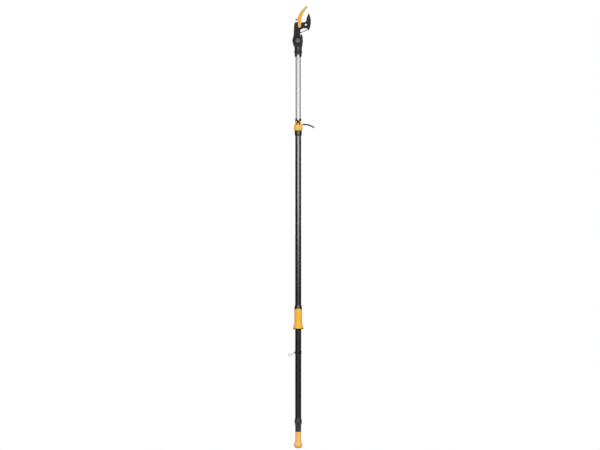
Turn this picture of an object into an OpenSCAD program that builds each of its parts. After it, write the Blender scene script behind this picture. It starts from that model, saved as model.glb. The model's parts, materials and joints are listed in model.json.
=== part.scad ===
// Telescopic tree pruner: geared bypass head, tilting joint, quick clamp, pull grip and pull handle.
// Millimetres. Origin: centre of the end handle's bottom face on the tube axis.
// +Z runs up the pole, +X points to the blade's side, the front of the head faces -Y.

/* [Pole] */
// Outside diameter of the outer tube
outer_tube_d = 33; // [31.6:0.1:34]
// Wall of both tubes
tube_wall = 1.2; // [0.9:0.1:1.4]
// Length of the outer tube
outer_tube_len = 1610; // [1500:10:1900]
// Length of the inner tube
inner_tube_len = 1362; // [1250:2:1450]
// Bare inner tube between clamp and head, retracted
bare_len = 386; // [370:1:460]

/* [Head] */
// Height of the blade pivot above the tilt axis
pivot_rise = 79; // [77:0.5:83]
// Offset of the blade pivot from the tilt axis
pivot_out = 9; // [8:0.25:10]
// Height of the hook tip above the blade pivot
hook_h = 109.5; // [100:0.5:118]
// Width of the hook's tongue
hook_w = 17; // [16:0.25:18]
// Thickness of the hook
hook_t = 4.7; // [4:0.1:5.5]
// Thickness of the blade
blade_t = 4; // [3:0.1:4.4]
// Reach of the blade's back from the pivot
blade_reach = 62; // [58:0.2:66]
// How far the blade swings shut, degrees
blade_swing = 44; // [38:1:46]
// Thickness of the front cover
cover_t = 3.6; // [3:0.1:4.2]
// Thickness of the housing's walls
housing_wall = 2.2; // [1.8:0.1:2.4]

/* [Blade drive] */
// Gear module of sector and pinion
gear_module = 1; // [0.96:0.01:1.03]
// Teeth of a full circle of the blade's sector
sector_teeth = 48; // [46:1:50]
// Teeth of the drum's pinion
pinion_teeth = 9; // [9:1:10]
// Play taken off each tooth
tooth_play = 0.3; // [0.2:0.05:0.4]
// Thickness of the strap
strap_t = 1; // [0.6:0.1:1.2]
// Width of the strap
strap_w = 7.8; // [6:0.2:8.2]
// Diameter of the drum's axle
axle_d = 6; // [5:0.1:6.4]
// Diameter of the blade pivot
pivot_d = 8; // [7:0.1:9]

/* [Return spring] */
// Outside diameter of the coil
spring_od = 5; // [4:0.1:5.6]
// Diameter of the spring wire
spring_wire = 0.9; // [0.7:0.05:1]
// Number of curls
spring_curls = 12; // [8:1:13]

/* [Tilt joint] */
// Radius of the fork's cheeks
cheek_r = 27.4; // [26.5:0.1:28]
// Thickness of each cheek
cheek_t = 5.5; // [4.5:0.1:6.5]
// Width of the head's boss between the cheeks
boss_w = 19.4; // [18:0.2:21]
// Radius of the trunnions that turn in the cheeks
trunnion_r = 8; // [7:0.1:9]
// Diameter of the tilt pin
tilt_pin_d = 6; // [5:0.1:6.4]
// Radius of the tilt disc
disc_r = 17.5; // [16:0.25:18]
// Thickness of the lock lever
lock_t = 4.5; // [3.5:0.1:5.5]

/* [Clamp] */
// Greatest radius of the clamp collar
collar_r = 25.2; // [24:0.1:27]
// Length of the clamp lever from its pin
clamp_lever_len = 64; // [55:1:75]
// Thickness of the clamp lever
clamp_lever_t = 8.4; // [5:0.1:9]
// Width of the clamp lever
clamp_lever_w = 10; // [9:0.2:11]
// Diameter of the clamp pin
clamp_pin_d = 4; // [3.6:0.1:4.4]

/* [Pull grip] */
// Drop from the inner tube's lower end to the grip's lower end, at rest
grip_drop = 156; // [150:1:200]
// Length of the orange grip sleeve at its front
grip_len = 113; // [104:1:120]
// Diameter of the grip
grip_d = 42.2; // [40.4:0.2:45]
// Diameter of the grip's flange
flange_d = 58.4; // [55:0.2:60]
// Pull of the grip that shuts the blade
grip_stroke = 110; // [100:1:112]

/* [Wire catch] */
// Drop from the grip's lower end to the wire catch, at rest
catch_drop = 127; // [126:1:165]
// Diameter of the catch wire
catch_wire = 2.6; // [2:0.1:3]

/* [Foot] */
// Length of the end handle
handle_len = 89; // [80:1:100]
// Diameter of the end handle
handle_d = 33; // [32:0.2:36]
// Diameter of the end handle's rim
rim_d = 48; // [44:0.5:52]
// Diameter of the end collar
end_collar_d = 40; // [37.6:0.1:42]

/* [Fits] */
// Clearance between pieces that move past each other
run_gap = 0.3; // [0.2:0.05:0.4]
// Clearance of a piece seated on another
seat_gap = 0.1; // [0.05:0.01:0.15]
// Radial clearance of a pin that turns in its bore
pin_play = 0.05; // [0.03:0.01:0.09]

/* [Hidden] */
$fn = 64;
eps = 0.01;
arc_steps = 16;

// Colours
orange = "#f5b04a";
black = "#26262a";
steel = "#a9adb2";
dark_grey = "#5a5a5c";
silver = "#c9ccd0";
web_grey = "#3c3f44";
olive = "#3a3628";

// Heights along the pole
nozzle_len = 38;
tube_z0 = handle_len + run_gap + nozzle_len;
tube_z1 = tube_z0 + outer_tube_len;
socket_z0 = tube_z1 + bare_len;
socket_depth = 40;
inner_z1 = socket_z0 + socket_depth - run_gap;
inner_z0 = inner_z1 - inner_tube_len;
grip_z = inner_z0 - grip_drop;
catch_z = grip_z - catch_drop;
tilt_rise = 88;
tilt_x = -2;
tilt_z = socket_z0 + tilt_rise;

// Tube radii
outer_r = outer_tube_d / 2;
outer_bore_r = outer_r - tube_wall;
inner_r = outer_bore_r - 0.2;
inner_bore_r = inner_r - tube_wall;

// Layers of the head along Y, front to back
blade_y0 = -8;
blade_y1 = blade_y0 + blade_t;
hook_y1 = blade_y0 - run_gap;
hook_y0 = hook_y1 - hook_t;
cover_y0 = hook_y1 - cover_t;
spool_y0 = -3.2;
flange_t = 1;
strap_y = spool_y0 + flange_t + run_gap + strap_w / 2;
slot_y0 = strap_y - strap_w / 2 - run_gap;
slot_y1 = strap_y + strap_w / 2 + run_gap;
spool_y1 = slot_y1 + flange_t;
chamber_y1 = spool_y1 + run_gap;
housing_y1 = chamber_y1 + 3.5;
boss_y = boss_w / 2;
cheek_y0 = boss_y + run_gap;
cheek_y1 = cheek_y0 + cheek_t;
front_y1 = -cheek_y1 - run_gap;

// Gear pair: sector about the blade pivot, pinion on the drum
pressure = 28;
mesh_at = 243;
sector_r = gear_module * sector_teeth / 2;
pinion_r = gear_module * pinion_teeth / 2;
gear_reach = sector_r + pinion_r;
drum = gear_reach * [cos(mesh_at), sin(mesh_at)];
drum_turn = blade_swing * sector_teeth / pinion_teeth;
strap_pull = grip_stroke / 2;
wrap_r = strap_pull / (drum_turn * PI / 180);
drum_flange_r = wrap_r + strap_t / 2 + run_gap;
spool_r = wrap_r - strap_t / 2 - run_gap;

// Tilt joint
neck_r = 36;
bush_r = 5;
strap_x = tilt_x + bush_r + run_gap + strap_t / 2;
strap_stop = 14;

// A plate lying in XZ, extruded along Y from y0 to y1
module plate(y0, y1) {
  translate([0, y1, 0])
    rotate([90, 0, 0])
      linear_extrude(y1 - y0)
        children();
}

// A round bar along Y from y0 to y1 at a place in XZ
module y_bar(r, y0, y1, at = [0, 0]) {
  translate([at.x, y1, at.y])
    rotate([90, 0, 0])
      cylinder(r = r, h = y1 - y0);
}

// A round bar along X through the tube axis at height z
module x_bar(r, x0, x1, z) {
  translate([x0, 0, z])
    rotate([0, 90, 0])
      cylinder(r = r, h = x1 - x0);
}

// A round bar between two places
module bar_between(a, b, r) {
  d = b - a;
  translate(a)
    rotate([0, acos(d.z / norm(d)), atan2(d.y, d.x)])
      cylinder(r = r, h = norm(d));
}

// A ring about the tube axis
module ring(r_out, r_in, z0, z1) {
  translate([0, 0, z0])
    difference() {
      cylinder(r = r_out, h = z1 - z0);
      translate([0, 0, -1])
        cylinder(r = r_in, h = z1 - z0 + 2);
    }
}

// A body turned about the tube axis
module turned(points) {
  rotate_extrude($fn = 96)
    polygon(points);
}

// Places the head's pieces about the blade pivot, and the joint's about the tilt axis
module at_pivot() {
  translate([tilt_x + pivot_out, 0, tilt_z + pivot_rise])
    children();
}
module at_tilt() {
  translate([tilt_x, 0, tilt_z])
    children();
}

// Points of the arc from a to c through b
function arc3(a, b, c, steps = arc_steps) =
  let (
    d = 2 * (a.x * (b.y - c.y) + b.x * (c.y - a.y) + c.x * (a.y - b.y)),
    mx = (a * a * (b.y - c.y) + b * b * (c.y - a.y) + c * c * (a.y - b.y)) / d,
    my = (a * a * (c.x - b.x) + b * b * (a.x - c.x) + c * c * (b.x - a.x)) / d,
    m = [mx, my],
    t0 = atan2(a.y - my, a.x - mx),
    t1 = atan2(c.y - my, c.x - mx),
    ccw = d > 0,
    turn = ccw ? (t1 - t0 + 720) % 360 : -((t0 - t1 + 720) % 360)
  )
  [for (i = [0:steps]) m + norm(a - m) * [cos(t0 + turn * i / steps), sin(t0 + turn * i / steps)]];
function arc_centre(a, b, c) =
  let (
    d = 2 * (a.x * (b.y - c.y) + b.x * (c.y - a.y) + c.x * (a.y - b.y)),
    mx = (a * a * (b.y - c.y) + b * b * (c.y - a.y) + c * c * (a.y - b.y)) / d,
    my = (a * a * (c.x - b.x) + b * b * (a.x - c.x) + c * c * (b.x - a.x)) / d
  )
  [mx, my];
function around(m, r, t0, t1, steps = arc_steps) =
  [for (i = [0:steps]) m + r * [cos(t0 + (t1 - t0) * i / steps), sin(t0 + (t1 - t0) * i / steps)]];

// Involute teeth: the angle that a flank has turned at radius r, and one tooth's points
addendum = 0.8 * gear_module;
dedendum = 1.1 * gear_module;
flank_steps = 4;
function involute(base_r, r) =
  r <= base_r ? 0 : sqrt(pow(r / base_r, 2) - 1) * 180 / PI - acos(base_r / r);
function tooth(teeth, centre) =
  let (
    r = gear_module * teeth / 2,
    base_r = r * cos(pressure),
    half = 90 / teeth - tooth_play / 2 / r * 180 / PI + involute(base_r, r),
    radii = [for (i = [0:flank_steps]) r - dedendum + (addendum + dedendum) * i / flank_steps],
    rising = [for (q = radii) q * [cos(centre - half + involute(base_r, q)),
      sin(centre - half + involute(base_r, q))]],
    falling = [for (i = [flank_steps:-1:0]) radii[i] * [cos(centre + half - involute(base_r, radii[i])),
      sin(centre + half - involute(base_r, radii[i]))]]
  )
  concat(rising, falling);

// Hook
tongue_h = 39.5;
hook_back = [-hook_w / 2, tongue_h];
hook_inner = [hook_w / 2 + 1.7, tongue_h];
hook_shoulder = [[-hook_w / 2, 22.4], [-12.6, 23.6], [-13.6, 33], [-12.6, 41], [-9.4, 47]];
hook_tip = [38, hook_h];
module hook_outline(grow = 0) {
  back = arc3([-8, 52], [7.8, hook_h - 29.5], hook_tip);
  inner = arc3(hook_tip + [7, -6.5], [27, hook_h - 31.5], hook_inner);
  tongue_end = around([0, 0], hook_w / 2 + grow, 0, -180);
  upper = concat(hook_shoulder, back, [hook_tip + [5, -1.4]], inner);
  side = grow == 0 ? upper : [hook_back - [grow, 0], hook_inner + [grow, 0]];
  polygon(concat(side, tongue_end));
}
bolt_depth = 3.2;
module hook() {
  color(orange)
    at_pivot()
      difference() {
        plate(hook_y0, hook_y1) hook_outline();
        y_bar(pivot_d / 2 + seat_gap, hook_y1 - bolt_depth, hook_y1 + 1);
      }
}

// Blade: leaf with a web, hub and toothed sector
leaf_tip = [50.3, 70.6];
leaf_tail = [49.2, -25.6];
leaf_back = [blade_reach, 21.5];
leaf_edge = [40.5, 47.5];
leaf_heel = [35.5, 28.3];
throat = [27, 22];
hub_r = 14;
window_r = 5;
window_at = [34.5, 7.5];
edge_bevel = 7;
spring_pin_at = [45.6, -18.6];
spring_pin_r = 1.25;
sector_lead = 5;
module blade_outline() {
  back = arc3(leaf_tip, leaf_back, leaf_tail);
  under = [[43, -18.5], [39.5, -13.6], [36, -12.4], [21, -12], [9.6, -18], [0, -hub_r], [0, 19.3],
    [9, 19.3]];
  heel = arc3(throat, [32.6, 23.7], leaf_heel, 6);
  edge = arc3(leaf_heel, leaf_edge, leaf_tip);
  polygon(concat(back, under, heel, edge));
}
module blade_sector() {
  pitch = 360 / sector_teeth;
  first = -ceil((blade_swing + sector_lead) / pitch);
  last = ceil(sector_lead / pitch);
  teeth = [for (k = [first:last]) each tooth(sector_teeth, mesh_at + k * pitch)];
  polygon(concat([[0, 0]], teeth));
}
module cutting_blade() {
  edge_at = arc_centre(leaf_heel, leaf_edge, leaf_tip);
  edge_r = norm(leaf_edge - edge_at);
  bevel_depth = blade_t - 0.6;
  color(black)
    at_pivot()
      difference() {
        union() {
          plate(blade_y0, blade_y1) blade_outline();
          plate(blade_y0, blade_y1) blade_sector();
          y_bar(hub_r, blade_y0, blade_y1);
        }
        intersection() {
          translate([edge_at.x, blade_y1, edge_at.y])
            rotate([90, 0, 0])
              rotate_extrude($fn = 96)
                polygon([[edge_r - edge_bevel, -eps], [edge_r + edge_bevel, -eps],
                  [edge_r + edge_bevel, bevel_depth], [edge_r, bevel_depth]]);
          translate([0, -50, leaf_heel.y])
            cube([100, 100, 100]);
        }
        y_bar(pivot_d / 2 + pin_play, blade_y0 - 1, blade_y1 + 1);
        y_bar(window_r, blade_y0 - 1, blade_y1 + 1, window_at);
        y_bar(spring_pin_r + seat_gap, blade_y0 - 1, blade_y1 + 1, spring_pin_at);
      }
}

// Pivot bolt: head behind the housing, end blind in the hook
bolt_head_r = 7;
bolt_head_t = 4;
module pivot_bolt() {
  color(steel)
    at_pivot() {
      y_bar(pivot_d / 2, hook_y1 - bolt_depth + run_gap, housing_y1);
      difference() {
        y_bar(bolt_head_r, housing_y1, housing_y1 + bolt_head_t);
        plate(housing_y1 + 1.5, housing_y1 + bolt_head_t + 1) circle(r = 3, $fn = 6);
      }
    }
}

// Head housing. Its outline is given about the blade pivot, drawn in by the inset
hook_rib_t = 5;
function housing_outline(inset) =
  let (
    low = -pivot_rise,
    left = [[-31.6, -40.4], [-30.8, -24], [-29.8, -2], [-28.8, 9.6], [-26.2, 16.5], [-21, 21.5]],
    right = [[9, 21.5], [13, 10], [13, -2.5], [9.2, -15], [4.9, -24.5], [4.8, -40.4]],
    top = 21.5 - inset
  )
  concat(
    [[left[0].x + inset, low]],
    [for (p = left) [p.x + inset, min(p.y, top)]],
    [for (p = right) [p.x - inset, min(p.y, top)]],
    [[right[5].x - inset, low]]
  );
boss_r = 26;
spring_a = [8.2, -34.4];
post_lug_r = 3.4;
cover_screw_at = [[-23.4, 12], [-26.2, -43], [1.2, -42]];
screw_r = 1.6;
screw_head_r = 3;
module tilt_hollow(r, y0, y1) {
  translate([-pivot_out, 0, -pivot_rise])
    y_bar(r, y0, y1);
}
module branch_spur() {
  polygon([[-7.5, 18], [-7.5, 30.4], [-14, 31.2], [-18.2, 33.6], [-22.4, 35.1], [-23.8, 36], [-22.8, 37.3],
    [-18.6, 38.8], [-14, 40.4], [3, 40.4], [5, 30], [5, 18]]);
}
module head_housing() {
  chamber_z = drum.y - drum_flange_r - run_gap;
  channel_x = drum.x + wrap_r + strap_t / 2 + run_gap;
  color(black)
    at_pivot()
      difference() {
        union() {
          difference() {
            plate(hook_y1, housing_y1) polygon(housing_outline(0));
            tilt_hollow(neck_r + run_gap, -50, -boss_y);
            tilt_hollow(neck_r + run_gap, boss_y, 50);
          }
          intersection() {
            plate(-boss_y, boss_y) polygon(housing_outline(0));
            tilt_hollow(neck_r, -50, 50);
          }
          tilt_hollow(boss_r, -boss_y, boss_y);
          tilt_hollow(trunnion_r, -cheek_y1, cheek_y1);
          plate(blade_y1 + run_gap, blade_y1 + run_gap + hook_rib_t) branch_spur();
          plate(slot_y0 + 4, chamber_y1)
            translate(spring_a - [post_lug_r + 1.5, post_lug_r])
              square([post_lug_r + 1.5, 2 * post_lug_r]);
          y_bar(post_lug_r, slot_y0 + 4, chamber_y1, spring_a);
        }
        intersection() {
          plate(-boss_y - 1, chamber_y1) polygon(housing_outline(housing_wall));
          translate([-100, -50, chamber_z])
            cube([200, 100, 100]);
          translate([-100, hook_y1 - 5, -100])
            cube([200, 100, 200]);
        }
        translate([-10, hook_y1 - 1, drum.y - 3])
          cube([60, blade_y1 + run_gap - hook_y1 + 1, 60]);
        translate([-60, slot_y0, -pivot_rise - 40])
          cube([120, slot_y1 - slot_y0, 60]);
        translate([-pivot_out + bush_r, slot_y0, -pivot_rise])
          cube([channel_x + pivot_out - bush_r, slot_y1 - slot_y0, pivot_rise + chamber_z + 1]);
        tilt_hollow(tilt_pin_d / 2 + seat_gap, -50, 50);
        y_bar(axle_d / 2 + seat_gap, 0, housing_y1 - 1.2, drum);
        for (p = cover_screw_at)
          y_bar(screw_r + seat_gap, -20, 6, p);
        y_bar(spring_pin_r + seat_gap, -20, 20, spring_a);
        y_bar(pivot_d / 2 + seat_gap, -20, 50);
      }
}

// Front cover with the pocket for the hook's tongue
module head_cover() {
  color(black)
    at_pivot()
      difference() {
        plate(cover_y0, hook_y1) polygon(housing_outline(0));
        tilt_hollow(neck_r + run_gap, -50, 50);
        plate(cover_y0 - 1, hook_y1 + 1) hook_outline(seat_gap);
        y_bar(axle_d / 2 + seat_gap, hook_y1 - 2, hook_y1 + 1, drum);
        for (p = cover_screw_at) {
          y_bar(screw_r + seat_gap, -20, 0, p);
          y_bar(screw_head_r + seat_gap, cover_y0 - 1, cover_y0 + 1.6, p);
        }
      }
}

// Screws of the cover, heads sunk in its face
module cover_screws() {
  color(steel)
    at_pivot()
      for (p = cover_screw_at) {
        y_bar(screw_head_r, cover_y0 + 0.2, cover_y0 + 1.6, p);
        y_bar(screw_r, cover_y0 + 1.6 - eps, 5, p);
      }
}

// Geared drum: pinion in front, strap spool behind
module gear_drum() {
  pitch = 360 / pinion_teeth;
  color(web_grey)
    at_pivot()
      translate([drum.x, 0, drum.y])
        difference() {
          union() {
            plate(blade_y0, spool_y0)
              polygon([for (k = [0:pinion_teeth - 1])
                each tooth(pinion_teeth, mesh_at - 180 + (k + 0.5) * pitch)]);
            y_bar(drum_flange_r, spool_y0, spool_y0 + flange_t);
            y_bar(spool_r, spool_y0, spool_y1);
            y_bar(drum_flange_r, slot_y1, spool_y1);
          }
          y_bar(axle_d / 2 + pin_play, -50, 50);
        }
}
module drum_axle() {
  color(steel)
    at_pivot()
      y_bar(axle_d / 2, hook_y1 - 1.8, housing_y1 - 1.4, drum);
}

// Drive strap: the turns on the drum and the run down to the tilt axis
wrap_angle = 235;
module drive_strap() {
  tilt_rel = [strap_x - tilt_x - pivot_out, -pivot_rise + strap_stop];
  top_rel = drum + [wrap_r, 0];
  half = [strap_t / 2, 0];
  color(web_grey)
    at_pivot() {
      translate([drum.x, strap_y, drum.y])
        rotate([90, 0, 0])
          rotate_extrude(angle = wrap_angle, $fn = 96)
            translate([wrap_r - strap_t / 2, -strap_w / 2])
              square([strap_t, strap_w]);
      plate(strap_y - strap_w / 2, strap_y + strap_w / 2)
        polygon([top_rel - half, top_rel + half, tilt_rel + half, tilt_rel - half]);
    }
}

// Return spring: one wire from an eye on the post, through the coil, to an eye on the blade's pin
spring_y = blade_y1 + 0.5 + spring_od / 2;
spring_len = norm(spring_pin_at - spring_a);
eye_r = spring_pin_r + run_gap + spring_wire / 2;
coil_r = (spring_od - spring_wire) / 2;
coil_pitch = spring_wire + 1.3;
ring_steps = 8;
coil_end = spring_len - eye_r - 3.5;
coil_start = coil_end - coil_pitch * spring_curls;
eye_sweep = 280;
eye_steps = 14;
function eye_points(centre, t0, t1) =
  [for (i = [0:eye_steps]) let (t = t0 + (t1 - t0) * i / eye_steps) centre + eye_r * [cos(t), 0, sin(t)]];
spring_path = concat(
  eye_points([0, 0, 0], eye_sweep, 0),
  [[coil_start - 2, 0, 0], [coil_start - 2 + spring_wire, 0, 0]],
  [for (i = [1:ring_steps * spring_curls - 1])
    let (
      s = i / ring_steps,
      grow = min(1, s, spring_curls - s),
      t = 360 * s + 90
    )
    [coil_start + coil_pitch * s, coil_r * grow * cos(t), coil_r * grow * sin(t)]],
  [[coil_end + 1.6, 0, 0], [coil_end + 1.6 + spring_wire, 0, 0]],
  eye_points([spring_len, 0, 0], 180, 180 + eye_sweep)
);
wire_sides = 6;
function unit(v) = v / norm(v);
function path_dir(path, i) = unit(path[min(i + 1, len(path) - 1)] - path[max(i - 1, 0)]);
function wire_points(path, r) =
  [for (i = [0:len(path) - 1])
    let (
      d = path_dir(path, i),
      up = abs(d.y) > 0.9 ? [1, 0, 0] : [0, 1, 0],
      side = unit(cross(d, up)),
      over = cross(side, d)
    )
    each [for (k = [0:wire_sides - 1])
      path[i] + r * (side * cos(360 * k / wire_sides) + over * sin(360 * k / wire_sides))]];
function wire_faces(rings) =
  concat(
    [for (k = [1:wire_sides - 2]) [0, k + 1, k]],
    [for (i = [0:rings - 2], k = [0:wire_sides - 1])
      let (a = i * wire_sides + k, b = i * wire_sides + (k + 1) % wire_sides)
      each [[a, b, a + wire_sides], [b, b + wire_sides, a + wire_sides]]],
    [for (k = [1:wire_sides - 2]) let (e = (rings - 1) * wire_sides) [e, e + k, e + k + 1]]
  );
least_gap = min([for (i = [0:len(spring_path) - 1], j = [0:len(spring_path) - 1])
  if (j - i > ring_steps / 2) norm(spring_path[i] - spring_path[j])]) - spring_wire;
echo(spring_self_gap = least_gap);
module return_spring() {
  d = spring_pin_at - spring_a;
  color(steel)
    at_pivot()
      translate([spring_a.x, spring_y, spring_a.y])
        rotate([0, -atan2(d.y, d.x), 0])
          polyhedron(wire_points(spring_path, spring_wire / 2), wire_faces(len(spring_path)));
}
module spring_post() {
  color(steel)
    at_pivot()
      y_bar(spring_pin_r, spring_y - spring_od / 2, chamber_y1 - 1, spring_a);
}
module spring_pin() {
  color(steel)
    at_pivot()
      y_bar(spring_pin_r, blade_y0, spring_y + spring_od / 2, spring_pin_at);
}

// Tilt joint
nut_t = 3;
nut_r = 5.5;
module tilt_pin() {
  color(steel)
    at_tilt() {
      y_bar(tilt_pin_d / 2, front_y1 - disc_t, cheek_y1);
      y_bar(trunnion_r + 2, cheek_y1, cheek_y1 + 2.5);
    }
}
disc_t = 3.5;
module tilt_nut() {
  color(steel)
    at_tilt()
      difference() {
        plate(front_y1 - disc_t - nut_t + 1.5, front_y1 - disc_t + 1.5) circle(r = nut_r, $fn = 6);
        y_bar(tilt_pin_d / 2 + seat_gap, -50, 0);
      }
}
module strap_bush() {
  color(steel)
    at_tilt()
      difference() {
        y_bar(bush_r, slot_y0 + seat_gap, slot_y1 - seat_gap);
        y_bar(tilt_pin_d / 2 + seat_gap, -50, 50);
      }
}
serrations = 36;
module tilt_disc() {
  color(dark_grey)
    at_tilt()
      difference() {
        union() {
          y_bar(disc_r, front_y1 - disc_t, front_y1);
          y_bar(trunnion_r - 1, front_y1 - eps, -cheek_y1);
        }
        y_bar(tilt_pin_d / 2 + seat_gap, -50, 50);
        y_bar(nut_r + seat_gap, -50, front_y1 - disc_t + 1.5);
        for (k = [0:serrations - 1])
          y_bar(0.6, -50, 0, disc_r * [cos(360 * k / serrations), sin(360 * k / serrations)]);
      }
}

// Tilt fork: two cheeks on the socket of the inner tube
socket_r = inner_r + 5.2;
socket_screw_z = socket_z0 + 27;
socket_screw_head_r = 3.6;
roof_drop = 27;
roof_slope = 0.45;
lock_at = [20.6, -30.5];
lock_pin_r = 2;
arch_r = 9;
socket_screw_r = 2;
module fork_cheek() {
  circle(r = cheek_r);
  polygon([[0, 27], [-13, 32], [-21, 28.4], [-24.8, 24], [-25.8, 16], [-28.6, 8.5], [-29.2, 0], [-28, -6],
    [-24, -25], [-20.4, -29.4], [-12, -46], [16, -46], [24, -34], [24.9, -25], [26.8, -6]]);
}
module tilt_fork() {
  color(black)
    difference() {
      union() {
        turned([[0, socket_z0], [inner_r + 3.4, socket_z0], [inner_r + 4.2, socket_z0 + 14],
          [socket_r - 0.4, socket_z0 + 20], [socket_r + 1.6, socket_z0 + 25],
          [socket_r + 1.6, socket_z0 + 30], [socket_r, socket_z0 + 35], [socket_r, socket_z0 + 43],
          [socket_r + 0.8, socket_z0 + 51], [socket_r + 0.8, socket_z0 + 56], [0, socket_z0 + 56]]);
        intersection() {
          at_tilt() {
            plate(-cheek_y1, -cheek_y0) fork_cheek();
            plate(cheek_y0, cheek_y1) fork_cheek();
          }
          turned([[0, tilt_z - 60], [socket_r, tilt_z - 60], [socket_r, tilt_z - 44],
            [cheek_r + 6.6, tilt_z - 24], [cheek_r + 6.6, tilt_z - 14], [cheek_r + 8, tilt_z - 8],
            [cheek_r + 8, tilt_z + 40], [0, tilt_z + 40]]);
        }
      }
      translate([0, 0, socket_z0 - 1])
        cylinder(r = inner_r + seat_gap, h = socket_depth + 1);
      at_tilt() {
        plate(-cheek_y0, cheek_y0)
          polygon([[0, -roof_drop], [60, -roof_drop - 60 * roof_slope], [60, 60], [-60, 60],
            [-60, -roof_drop - 60 * roof_slope]]);
        y_bar(trunnion_r + pin_play, -50, 50);
        y_bar(lock_pin_r + seat_gap, -50, 0, lock_at);
      }
      translate([strap_x - strap_t - 2, slot_y0 - 1, socket_z0])
        cube([strap_t + 6, slot_y1 - slot_y0 + 2, 80]);
      y_bar(arch_r, -50, 50, [0, socket_z0 + 2]);
      y_bar(socket_screw_r + seat_gap, -50, 50, [0, socket_screw_z]);
      for (k = [0, 1])
        rotate([0, 0, 180 * k])
          y_bar(socket_screw_head_r + run_gap, socket_r - 0.4, 50, [0, socket_screw_z]);
    }
}
module socket_screws() {
  color(steel)
    for (k = [0, 1])
      rotate([0, 0, 180 * k]) {
        y_bar(socket_screw_r, inner_bore_r - 0.5, socket_r, [0, socket_screw_z]);
        y_bar(socket_screw_head_r, socket_r - 0.4, socket_r + 1, [0, socket_screw_z]);
      }
}

// Lock lever: hugs the disc's rim from the right, pinned at its lower end
module lock_lever() {
  rim = disc_r + run_gap;
  hug = around([0, 0], rim, -24, 36, 10);
  color(olive)
    at_tilt()
      difference() {
        plate(front_y1 - lock_t, front_y1)
          polygon(concat([[16.8, -33.6], [15.2, -20]], hug, [[14.8, 28], [16, 33], [20, 33], [24.6, 26],
            [26.6, 16], [27.4, 3], [27.4, -4], [26.2, -16], [23.4, -33.6]]));
        y_bar(lock_pin_r + pin_play, -50, 50, lock_at);
      }
}
module lock_pin() {
  color(steel)
    at_tilt() {
      y_bar(lock_pin_r, front_y1 - lock_t - run_gap, -cheek_y0, lock_at);
      y_bar(lock_pin_r + 1.2, front_y1 - lock_t - run_gap - 1, front_y1 - lock_t - run_gap, lock_at);
    }
}

// Inner tube and what runs in it
plug_len = 30;
plug_r = inner_bore_r - seat_gap;
module inner_tube() {
  color(silver)
    difference() {
      ring(inner_r, inner_bore_r, inner_z0, inner_z1);
      y_bar(socket_screw_r + seat_gap, -50, 50, [0, socket_screw_z]);
    }
}
strap_gauge = 7.5;
sheave_z = inner_z0 + 110;
sheave_r = strap_gauge - strap_t / 2 - run_gap;
sheave_w = strap_w + 0.4;
block_top = sheave_z + 22;
run_out = strap_gauge + strap_t / 2;
sheave_pin_r = 2;
block_cheek = 2.2;
strap_grip = 6;
module guide_plug() {
  color(black)
    translate([0, 0, inner_z0])
      difference() {
        union() {
          cylinder(r = plug_r, h = plug_len);
          translate([0, 0, -3])
            cylinder(r = inner_r, h = 3);
        }
        translate([-run_out - run_gap, strap_y - strap_w / 2 - run_gap, -5])
          cube([2 * run_out + 2 * run_gap, strap_w + 2 * run_gap, plug_len + 10]);
      }
}
module pull_strap() {
  color(web_grey)
    translate([strap_x - strap_t / 2, strap_y - strap_w / 2, block_top - strap_grip])
      cube([strap_t, strap_w, tilt_z - strap_stop - block_top + strap_grip]);
}
module strap_slot(h) {
  translate([-strap_t / 2 - seat_gap, -strap_w / 2 - seat_gap, 0])
    cube([strap_t + 2 * seat_gap, strap_w + 2 * seat_gap, h]);
}
module strap_block() {
  cheek = block_cheek;
  room = sheave_w + 2 * run_gap;
  side_y = strap_y - room / 2 - cheek;
  color(dark_grey)
    difference() {
      union() {
        for (s = [0, 1])
          translate([-5, side_y + s * (room + cheek), sheave_z - 5])
            cube([10, cheek, block_top - sheave_z + 5]);
        translate([-5, side_y + cheek, sheave_z + run_out + 4])
          cube([10, room, block_top - sheave_z - run_out - 4]);
      }
      y_bar(sheave_pin_r + seat_gap, -50, 50, [0, sheave_z]);
      translate([strap_x, strap_y, block_top - strap_grip - seat_gap])
        strap_slot(strap_grip + 10);
    }
}
module strap_sheave() {
  color(steel)
    difference() {
      y_bar(sheave_r, strap_y - sheave_w / 2, strap_y + sheave_w / 2, [0, sheave_z]);
      y_bar(sheave_pin_r + pin_play, -50, 50, [0, sheave_z]);
    }
}
module sheave_pin() {
  half = sheave_w / 2 + run_gap + block_cheek;
  color(steel)
    y_bar(sheave_pin_r, strap_y - half, strap_y + half, [0, sheave_z]);
}
carriage_top = grip_z + 85;
draw_grip = 5;
module draw_strap() {
  color(web_grey) {
    translate([0, strap_y, sheave_z])
      rotate([90, 0, 0])
        rotate_extrude(angle = 180)
          translate([strap_gauge - strap_t / 2, -strap_w / 2])
            square([strap_t, strap_w]);
    translate([-strap_gauge - strap_t / 2, strap_y - strap_w / 2, inner_z0 + 4])
      cube([strap_t, strap_w, sheave_z - inner_z0 - 4]);
    translate([strap_gauge - strap_t / 2, strap_y - strap_w / 2, carriage_top - draw_grip])
      cube([strap_t, strap_w, sheave_z - carriage_top + draw_grip]);
  }
}

// Outer tube with the carriage slot at the back
key_z = grip_z + 55;
key_h = 24;
key_w = 8;
lower_grip = 8;
screw_step = 6;
module outer_tube() {
  color(black)
    difference() {
      ring(outer_r, outer_bore_r, tube_z0, tube_z1);
      translate([-key_w / 2 - run_gap, 0, key_z - key_h / 2 - grip_stroke - run_gap])
        cube([key_w + 2 * run_gap, 50, key_h + grip_stroke + 2 * run_gap]);
      y_bar(screw_r + seat_gap, 0, 50, [0, catch_z]);
    }
}

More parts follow.
